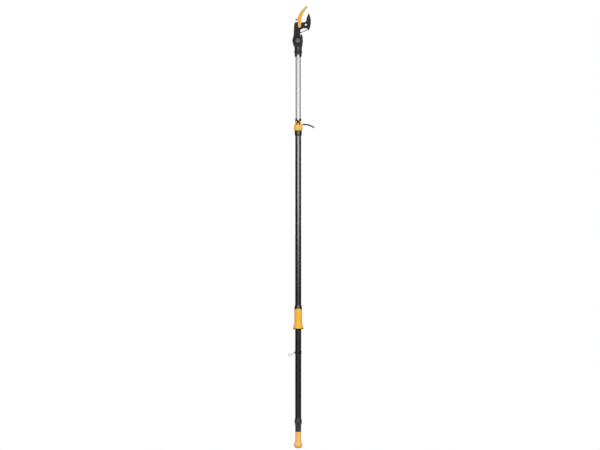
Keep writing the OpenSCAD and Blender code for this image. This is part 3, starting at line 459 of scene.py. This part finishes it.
# Finishes of single pieces that differ a little from their slot
OWN_FINISH = {
    "clamp_collar": moulded("orange_collar", rgb(242, 180, 76), rgb(249, 191, 88), 0.36, 0.48),
    "end_handle": handle_plastic(),
    "end_collar": moulded("grey_collar", rgb(36, 36, 38), rgb(46, 46, 48), 0.36, 0.44,
                          wear=rgb(72, 72, 74), IOR=1.62),
    "tilt_fork": moulded("fork_plastic", rgb(22, 22, 23), rgb(31, 31, 32), 0.34, 0.44,
                         wear=rgb(62, 62, 64), IOR=1.6),
    "clamp_bush": MATERIALS["black_plastic"],
}
slot_of = {s["node"]: s["material_slot"] for s in frame["record"]["subparts"]}
for name, obj in nodes.items():
    obj.data.materials.clear()
    obj.data.materials.append(OWN_FINISH.get(name, MATERIALS[slot_of[name]]))


def soften(name, width):
    """Rounds the sharp edges of a solid that stays as it is."""
    flat = nodes[name].modifiers.new("flat", "DECIMATE")
    flat.decimate_type = "DISSOLVE"
    flat.angle_limit = math.radians(0.6)
    edge = nodes[name].modifiers.new("edge", "BEVEL")
    edge.width = width * MM
    edge.segments = 2
    edge.limit_method = "ANGLE"
    edge.angle_limit = math.radians(32.0)
    edge.use_clamp_overlap = False
    edge.miter_outer = "MITER_ARC"
    edge.harden_normals = True


for name, width in (("hook", 0.7), ("cutting_blade", 0.3), ("head_housing", 0.5), ("head_cover", 0.6),
                    ("tilt_fork", 0.6), ("clamp_collar", 0.5), ("clamp_bush", 0.4), ("clamp_sleeve", 0.5),
                    ("grip_sleeve", 0.6), ("grip_ring", 0.4), ("end_collar", 0.4), ("end_handle", 0.6),
                    ("catch_saddle", 0.4), ("clamp_lever", 0.9), ("pivot_bolt", 0.5)):
    soften(name, width)


def dress(obj, body, slot, *replaced, finish=None):
    """Puts a new piece on its body with its material, in place of the solids that it stands for."""
    obj.data.materials.append(finish or MATERIALS[slot])
    if replaced:
        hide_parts(*replaced)
    if body:
        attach(obj, body)


# Return spring

def return_spring():
    a = Vector((SPRING_POST[0], -1.0, SPRING_POST[1]))
    b = Vector((SPRING_PIN[0], -1.0, SPRING_PIN[1]))
    along = (b - a).normalized()
    over = Vector((0, 1, 0))
    up = along.cross(over) * -1
    length = (b - a).length
    wire, eye, coil, curls, pitch = 0.55, 2.0, 2.2, 18, 1.5
    stop = length - eye - 3.5
    start = stop - pitch * curls
    path = []
    for i in range(33):
        t = math.radians(280 * (1 - i / 32))
        path.append(a + along * eye * math.cos(t) + up * eye * math.sin(t))
    path.append(a + along * (start - 2.2))
    path.append(a + along * (start - 1.4))
    per_turn = 24
    for i in range(1, per_turn * curls):
        s = i / per_turn
        grow = min(1.0, 1.4 * s, 1.4 * (curls - s))
        t = 2 * math.pi * s + math.pi / 2
        ring = over * coil * grow * math.cos(t) + up * coil * grow * math.sin(t)
        path.append(a + along * (start + pitch * s) + ring)
    path.append(a + along * (stop + 1.4))
    path.append(a + along * (stop + 2.2))
    for i in range(33):
        t = math.radians(180 + 280 * i / 32)
        path.append(b + along * eye * math.cos(t) + up * eye * math.sin(t))
    bm = bmesh.new()
    sweep(bm, path, circle(wire, 10))
    obj = finish_mesh("return_spring_coil", bm, 60)
    dress(obj, None, "spring_wire", "return_spring")
    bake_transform(obj)


return_spring()


# Straps: woven webbing with thicker selvedges

def strap_section(width, thick):
    w, t = width / 2, thick / 2
    return [(-t, -w + 0.3), (-t * 0.6, -w), (t * 0.6, -w), (t, -w + 0.3), (t, -w + 0.9), (t * 0.72, -w + 1.3),
            (t * 0.72, w - 1.3), (t, w - 0.9), (t, w - 0.3), (t * 0.6, w), (-t * 0.6, w), (-t, w - 0.3),
            (-t, w - 0.9), (-t * 0.72, w - 1.3), (-t * 0.72, -w + 1.3), (-t, -w + 0.9)]


def strap(name, body, path, node):
    bm = bmesh.new()
    sweep(bm, path, strap_section(STRAP_W, STRAP_T))
    dress(finish_mesh(name, bm), body, "strap_web", node)


def arc(centre, r, t0, t1, steps, y):
    spots = [polar(r, t0 + (t1 - t0) * i / steps) for i in range(steps + 1)]
    return [(centre[0] + u, y, centre[1] + v) for u, v in spots]


strap("drive_strap_web", "head",
      arc(DRUM, DRUM_WRAP_R, 235, 0, 48, STRAP_Y)
      + list(reversed(run((STRAP_X, STRAP_Y, 2225.3), (7.49, STRAP_Y, DRUM[1]), 6)[:-1])), "drive_strap")
strap("pull_strap_web", "block", run((STRAP_X, STRAP_Y, 927), (STRAP_X, STRAP_Y, 2197.3), 60), "pull_strap")
strap("draw_strap_web", "block",
      run((-SHEAVE_WRAP_R, STRAP_Y, 805), (-SHEAVE_WRAP_R, STRAP_Y, SHEAVE_Z), 8)[:-1]
      + arc((0, SHEAVE_Z), SHEAVE_WRAP_R, 180, 0, 24, STRAP_Y)
      + run((SHEAVE_WRAP_R, STRAP_Y, SHEAVE_Z), (SHEAVE_WRAP_R, STRAP_Y, 725), 10)[1:], "draw_strap")
strap("lower_strap_web", "end_handle", run((0, 0, 59.1), (0, 0, 687.9), 40), "lower_strap")


# Wire catch: one bent wire, its cross bar in the saddle's ears

def wire_catch():
    bm = bmesh.new()
    wire = circle(1.3, 14)
    bar_half = 5.4
    bends = [CATCH, (-26.5, 513.1), (-34.5, 507.4), (-41.5, 502.6), (-46, 501.6), (-49.6, 503.6),
             (-51.4, 507.6), (-52, 512.8)]
    sweep(bm, smooth_path([(x, 0, z) for x, z in bends], 6), wire)
    sweep(bm, run((CATCH[0], -bar_half, CATCH[1]), (CATCH[0], bar_half, CATCH[1]), 8), wire)
    dress(finish_mesh("wire_catch_bent", bm, 50), "wire_catch", "spring_wire", "wire_catch")


wire_catch()


# Tilt joint: ridged disc with a domed cap over its nut, and the lock lever with thumb ridges

def ridged(r, depth, count):
    return lambda t: r - depth * (0.5 + 0.5 * math.cos(count * t)) ** 2


def tilt_joint():
    bm = bmesh.new()
    rim = ridged(17.5, 0.8, 36)
    turn(bm, [(7, -15.9), (ridged(16.8, 0.5, 36), -15.9), (rim, -16.7), (rim, -18.4),
              (ridged(16.7, 0.5, 36), -19.2), (15.4, -19.3), (14.8, -18.9), (14.2, -18.5), (7, -18.5)],
         about_y(*TILT), 216, closed=True)
    dress(finish_mesh("tilt_disc_ridged", bm), "head", "black_plastic", "tilt_disc")
    bm = bmesh.new()
    turn(bm, [(0, -18.4), (13.7, -18.4), (13.7, -19.8), (13.4, -20.5), (12.6, -21.2), (11.2, -22),
              (9.2, -22.8), (6.8, -23.5), (4.4, -23.9), (2, -24.1), (0, -24.1)], about_y(*TILT), 72)
    dress(finish_mesh("tilt_cap", bm), "head", "grey_disc", "tilt_nut")

    hug = [polar(17.8, a) for a in range(-24, 37, 5)]
    outside = [(14.8, 28), (16, 33), (20, 33), (24.6, 26), (26.6, 16), (27.4, 3), (27.4, -4), (26.2, -16),
               (23.4, -33.6)]
    edge = [(16.8, -33.6), (15.2, -20)] + hug + outside
    bm = bmesh.new()
    plate(bm, [(TILT[0] + x, TILT[1] + z) for x, z in reversed(edge)], -20.3, -15.8, 1.0, 0.5,
          (TILT[0] + 20.6, TILT[1] - 30.5, 2.05))
    for k in range(5):
        z = TILT[1] + 12 + 3.4 * k
        left = TILT[0] + (18.6 if k < 4 else 17.6)
        right = TILT[0] + 25.2 - 0.35 * k
        bowed = [(x, y - 0.25 * math.sin(math.pi * i / 6), z)
                 for i, (x, y, z) in enumerate(run((left, -20.3, z), (right, -20.3, z), 6))]
        sweep(bm, bowed, ridge(0.35, 0.4, 0.04))
    dress(finish_mesh("lock_lever_ridged", bm), "lock_lever", "olive_lever", "lock_lever")


tilt_joint()


# Fork: cheeks with flowing outlines, tilt marks in front, ribs behind

def fork_cheeks():
    lower = [(12.9, -45.4), (17.4, -40.5), (21.6, -36), (24, -31.5), (25.2, -25.3), (26.4, -16), (27.3, -8)]
    round_side = [polar(27.65, a) for a in range(0, 85, 12)]
    shoulder = [(-3, 28.3), (-8, 30.6), (-13, 32.15), (-17.6, 31), (-21.4, 28.7), (-24.4, 24.8), (-26, 19),
                (-27.4, 12.5), (-28.9, 7), (-29.55, 0), (-28.9, -6), (-27.2, -13), (-25.3, -20),
                (-23.3, -26.4), (-20.6, -30.6), (-17.2, -36), (-13, -44.6)]
    loop = [(TILT[0] + p.x, TILT[1] + p.y) for p in smooth_path(lower + round_side + shoulder, 4)]

    def spoke(angle, r0, r1, y, half, high):
        c, s = polar(1, angle)
        section = ((-half, -high), (half, -high), (half, high * 0.6), (half * 0.6, high), (-half * 0.6, high),
                   (-half, high * 0.6))
        sweep(bm, [(TILT[0] + r * c, y, TILT[1] + r * s) for r in (r0, r0 + 0.4, r1 - 0.4, r1)],
              lambda t: [(u * (1 if 0 < t < 1 else 0.5), v) for u, v in section])

    bm = bmesh.new()
    near, far = 10.02, 15.65
    bore = (TILT[0], TILT[1], 8.4)
    plate(bm, loop, -far, -near, 1.0, 0.3, bore)
    for angle in range(120, 241, 15):
        spoke(angle, 20 if angle % 45 == 0 else 21.6, 24.4, -far, 0.35, 0.25)
    plate(bm, loop, near, far, 0.3, 1.0, bore)
    turn(bm, [(13.2, 15.5), (13.2, 16.3), (13.5, 16.6), (15.1, 16.6), (15.4, 16.3), (15.4, 15.5)],
         about_y(*TILT), 96, closed=True)
    for angle in range(-30, 271, 30):
        spoke(angle, 15.2, 24.4 if angle < 240 else 27.4, 15.8, 0.8, 0.5)
    dress(finish_mesh("fork_cheeks", bm), "mast", "black_plastic")


fork_cheeks()


# Screws with hexagon sockets

def socket_bolt(bm, spot, tip, shank, seat, head, top, key, deep):
    """A round-headed screw along one axis, from its tip to the top of its head."""
    way = 1 if top > tip else -1
    turn(bm, [(0, tip), (shank - 0.4, tip), (shank, tip + 0.5 * way), (shank, seat), (head, seat),
              (head, top - 0.5 * way), (head - 0.15, top - 0.2 * way), (head - 0.45, top),
              (hexagon(key + 0.25), top), (hexagon(key), top - 0.25 * way), (hexagon(key), top - deep * way),
              (0, top - (deep + 0.3) * way)], spot, 48)


def fasteners():
    bm = bmesh.new()
    for x, z in ((-23.4, 12), (-26.2, -43), (1.2, -42)):
        socket_bolt(bm, about_y(PIVOT[0] + x, PIVOT[1] + z), 5, 1.6, -10.3, 3.0, -11.7, 1.5, 0.9)
    dress(finish_mesh("cover_screws_socket", bm), "head", "black_steel", "cover_screws")
    bm = bmesh.new()
    for side in (-1, 1):
        socket_bolt(bm, about_y(0, SOCKET_SCREW_Z), 13.4 * side, 2.0, 19.9 * side, 3.6, 21.3 * side, 1.9, 1.0)
    dress(finish_mesh("socket_screws_hex", bm), "mast", "black_steel", "socket_screws")


fasteners()


# Beads moulded round the front cover

def cover_beads():
    bm = bmesh.new()
    section = ((-0.8, -0.4), (0.8, -0.4), (0.8, 0.2), (0.4, 0.6), (-0.4, 0.6), (-0.8, 0.2))
    left = [(-11, 18.9), (-16, 18.9), (-20.2, 18.6), (-23.6, 15.2), (-26, 9.2), (-27, -2), (-28, -24),
            (-28.4, -32)]
    right = [(10.4, 9), (10.6, -2), (7.2, -14), (2.6, -24), (2.2, -32)]
    for bead in (left, right):
        path = smooth_path([(PIVOT[0] + x, -11.9, PIVOT[1] + z) for x, z in bead], 6)
        sweep(bm, path, lambda s: [(u * (0.4 + 0.6 * min(1, 8 * s, 8 * (1 - s)) ** 0.5), v)
                                   for u, v in section])
    dress(finish_mesh("cover_beads", bm), "head", "black_plastic")


cover_beads()


# Raised thumb panel on the back of the housing

def rear_panel():
    bm = bmesh.new()
    loop = [(-26.6, -36), (-25.2, -37.4), (0.4, -37.4), (1.8, -36), (2.4, -27), (5.4, -18.5), (7, -14),
            (6.4, -12.6), (-24.4, -12.6), (-25.8, -14)]
    plate(bm, [(PIVOT[0] + x, PIVOT[1] + z) for x, z in loop], 10.6, 11.9, 0.2, 0.5)
    for k in range(6):
        x, z = PIVOT[0], PIVOT[1] - 34 + 3.6 * k
        sweep(bm, run((x - 22.6, 11.8, z), (x + 0.9 * k, 11.8, z), 8), ridge(0.35, 0.35, 0.04, 0.4))
    dress(finish_mesh("housing_thumb_panel", bm), "head", "black_plastic")


rear_panel()


# Smoothly turned skins over the foot of the handle and the end collar

def skins():
    bm = bmesh.new()
    foot = smooth_path([(14.6, 0.04), (16, 0.5), (17.2, 1.9), (19.2, 4.6), (21.2, 7.6), (22.6, 10.2),
                        (23.5, 12.8), (24.1, 16), (23.9, 18), (23.4, 19.8)], 4)
    flare = [Vector(p) for p in arc3((23.4, 19.8), (18.7, 32), (16.48, 51), 28)][1:]
    skin(bm, foot + flare, 0.7, 0.3)
    dress(finish_mesh("end_handle_skin", bm), "end_handle", "orange_plastic", finish=OWN_FINISH["end_handle"])

    bm = bmesh.new()
    swell = smooth_path([(15.75, 89.5), (16.05, 90), (16.05, 96), (16.05, 102), (16.1, 103), (16.75, 104),
                         (16.85, 105.4), (16.75, 106.8), (16.1, 107.8), (16.1, 113), (16.2, 116.5),
                         (16.6, 120.3), (17.4, 127.3), (18.3, 132.3), (19.4, 136.3), (20.05, 139.4),
                         (20.2, 142.3), (20.05, 145.3), (19.6, 148.8), (18.7, 152.3), (18, 157.3),
                         (17.5, 161), (17.2, 163)], 4)
    skin(bm, swell, 0.5, 0)
    dress(finish_mesh("end_collar_skin", bm), "pole", "black_gloss", finish=OWN_FINISH["end_collar"])


skins()


# Thumb ridges on the clamp lever and a black ring under the rim of the grip's flange

def trims():
    bm = bmesh.new()
    root, crest, tip = (-1, 4.2), (30, 2.2), (64, -14)
    upper = arc3((root[0], root[1] + 3.8), (crest[0], crest[1] + 4.2), (tip[0] + 1.7, tip[1] + 2.8), 60)
    for k in range(44, 57, 2):
        x, z = CLAMP[0] + upper[k][0], CLAMP[1] + upper[k][1]
        sweep(bm, run((x, -3.8, z - 0.1), (x, 3.8, z - 0.1), 6), ridge(0.3, 0.4, 0.05))
    dress(finish_mesh("clamp_lever_ridges", bm), "clamp_lever", "grey_lever")
    bm = bmesh.new()
    turn(bm, [(23.4, 645.2), (25.8, 645.2), (27.4, 645.9), (28.7, 647), (29.2, 648.2), (29.2, 650),
              (28.2, 650.4), (27.2, 648), (23.4, 646.4)], about_z, 96, closed=True)
    dress(finish_mesh("grip_lip", bm), "grip", "black_plastic")


trims()


# Studio: white floor and background, soft lamps, grey cards beside the set

def white_stage():
    bm = bmesh.new()
    bmesh.ops.create_circle(bm, cap_ends=True, segments=64, radius=40000)
    bmesh.ops.translate(bm, vec=(0, 0, FLOOR_Z), verts=bm.verts)
    floor = finish_mesh("floor", bm)
    mat = bpy.data.materials.new("floor_white")
    mat.use_nodes = True
    tree = mat.node_tree
    tree.nodes.clear()
    out = tree.nodes.new("ShaderNodeOutputMaterial")
    diffuse = tree.nodes.new("ShaderNodeBsdfDiffuse")
    diffuse.inputs["Color"].default_value = (0.6, 0.6, 0.6, 1)
    glow = tree.nodes.new("ShaderNodeEmission")
    glow.inputs["Color"].default_value = (1, 1, 1, 1)
    path = tree.nodes.new("ShaderNodeLightPath")
    geo = tree.nodes.new("ShaderNodeNewGeometry")
    far = tree.nodes.new("ShaderNodeVectorMath")
    far.operation = "LENGTH"
    ramp = tree.nodes.new("ShaderNodeMapRange")
    ramp.inputs["From Min"].default_value = 0.1
    ramp.inputs["From Max"].default_value = 1.4
    ramp.inputs["To Min"].default_value = 0.95
    seen = tree.nodes.new("ShaderNodeMath")
    seen.operation = "MAXIMUM"
    both = tree.nodes.new("ShaderNodeMath")
    both.operation = "MULTIPLY"
    mix = tree.nodes.new("ShaderNodeMixShader")
    link = tree.links.new
    link(geo.outputs["Position"], far.inputs[0])
    link(far.outputs["Value"], ramp.inputs["Value"])
    link(path.outputs["Is Camera Ray"], seen.inputs[0])
    link(path.outputs["Is Glossy Ray"], seen.inputs[1])
    link(seen.outputs[0], both.inputs[0])
    link(ramp.outputs["Result"], both.inputs[1])
    link(both.outputs[0], mix.inputs["Fac"])
    link(diffuse.outputs[0], mix.inputs[1])
    link(glow.outputs[0], mix.inputs[2])
    link(mix.outputs[0], out.inputs["Surface"])
    floor.data.materials.append(mat)


def white_world(ambient):
    world = bpy.data.worlds.new("studio")
    bpy.context.scene.world = world
    world.use_nodes = True
    tree = world.node_tree
    background = tree.nodes["Background"]
    path = tree.nodes.new("ShaderNodeLightPath")
    seen = tree.nodes.new("ShaderNodeMath")
    seen.operation = "MAXIMUM"
    also = tree.nodes.new("ShaderNodeMath")
    also.operation = "MAXIMUM"
    level = tree.nodes.new("ShaderNodeMapRange")
    level.inputs["To Min"].default_value = ambient
    level.inputs["To Max"].default_value = 1.0
    link = tree.links.new
    link(path.outputs["Is Camera Ray"], seen.inputs[0])
    link(path.outputs["Is Glossy Ray"], seen.inputs[1])
    link(seen.outputs[0], also.inputs[0])
    link(path.outputs["Is Transmission Ray"], also.inputs[1])
    link(also.outputs[0], level.inputs["Value"])
    background.inputs["Color"].default_value = (1, 1, 1, 1)
    link(level.outputs["Result"], background.inputs["Strength"])


def lamp(name, place, aim, size, power):
    data = bpy.data.lights.new(name, "AREA")
    data.shape = "RECTANGLE"
    data.size, data.size_y = size
    data.energy = power
    obj = bpy.data.objects.new(name, data)
    obj.location = place
    obj.rotation_euler = (Vector(aim) - Vector(place)).to_track_quat("-Z", "Y").to_euler()
    obj.visible_camera = False
    bpy.context.scene.collection.objects.link(obj)


def card(name, corners, level):
    """A grey card beside the set that only reflections see."""
    bm = bmesh.new()
    bm.faces.new([bm.verts.new(p) for p in corners])
    obj = finish_mesh(name, bm)
    mat = bpy.data.materials.new(name)
    mat.use_nodes = True
    tree = mat.node_tree
    tree.nodes.clear()
    out = tree.nodes.new("ShaderNodeOutputMaterial")
    glow = tree.nodes.new("ShaderNodeEmission")
    glow.inputs["Strength"].default_value = level
    tree.links.new(glow.outputs[0], out.inputs["Surface"])
    obj.data.materials.append(mat)
    obj.visible_camera = False
    obj.visible_diffuse = False
    obj.visible_shadow = False
    obj.visible_transmission = False


white_stage()
white_world(0.6)
lamp("key", (0.4, -3.2, 1.72), (0.4, 0, 1.72), (4.4, 1.16), 74)
lamp("back", (-0.4, 3.2, 1.72), (-0.4, 0, 1.72), (4.4, 1.16), 52)
for side, x in (("left", -1300), ("right", 1300)):
    for part, low, high, level in (("low", -220, 1735, 0.05), ("high", 1735, 4200, 0.38)):
        corners = ((-1500, low), (14000, low), (14000, high), (-1500, high))
        card("card_%s_%s" % (side, part), [(x, y, z) for y, z in corners], level)
front_corners = ((-6000, -220), (6000, -220), (6000, 6000), (-6000, 6000))
card("card_front", [(x, -5000, z) for x, z in front_corners], 0.14)
floor_corners = ((-2300, -5000), (2300, -5000), (2300, -300), (-2300, -300))
card("card_floor", [(x, y, FLOOR_Z + 2) for x, y in floor_corners], 0.3)

# Camera: level with the middle of the pole, far off with a long lens
camera = bpy.data.cameras.new("camera")
camera.sensor_fit = "HORIZONTAL"
camera.sensor_width = 36
distance = 12.0
frame_width = 3.258
camera.lens = camera.sensor_width * distance / frame_width
shot = bpy.data.objects.new("camera", camera)
shot.location = (0.0098, -distance, 1.2109)
shot.rotation_euler = (math.pi / 2, 0, 0)
bpy.context.scene.collection.objects.link(shot)
bpy.context.scene.camera = shot
bpy.context.scene.view_settings.view_transform = "Standard"
